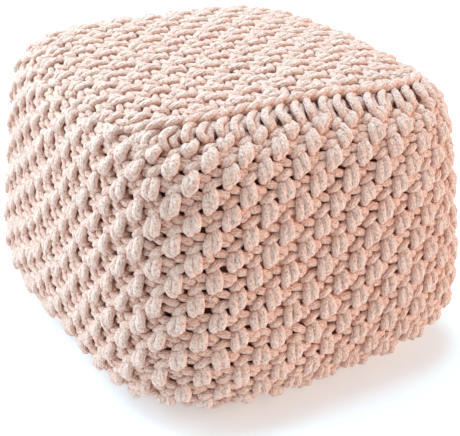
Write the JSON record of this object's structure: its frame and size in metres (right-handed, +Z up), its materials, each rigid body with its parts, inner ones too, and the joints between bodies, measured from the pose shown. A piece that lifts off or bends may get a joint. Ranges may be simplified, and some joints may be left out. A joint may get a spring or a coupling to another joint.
{
  "type": "knitted pouf",
  "caption": "Soft square floor pouf with a chunky knitted cover: a side band, a domed top panel joined by a raised chain seam, and a flat base.",
  "frame": {"origin": "on the floor, under the middle of the base panel", "axes": "+Z up; +X and +Y across the two pairs of sides, with the longer size along Y"},
  "size_m": [0.4608, 0.511, 0.3413],
  "materials": {
    "cover_yarn": "matte cotton cord, seed stitch",
    "seam_yarn": "matte cotton cord, chained"
  },
  "bodies": {
    "root": {"side_band": "cover_yarn", "top_panel": "cover_yarn", "base_panel": "cover_yarn", "top_seam_chain": "seam_yarn"}
  },
  "joints": []
}
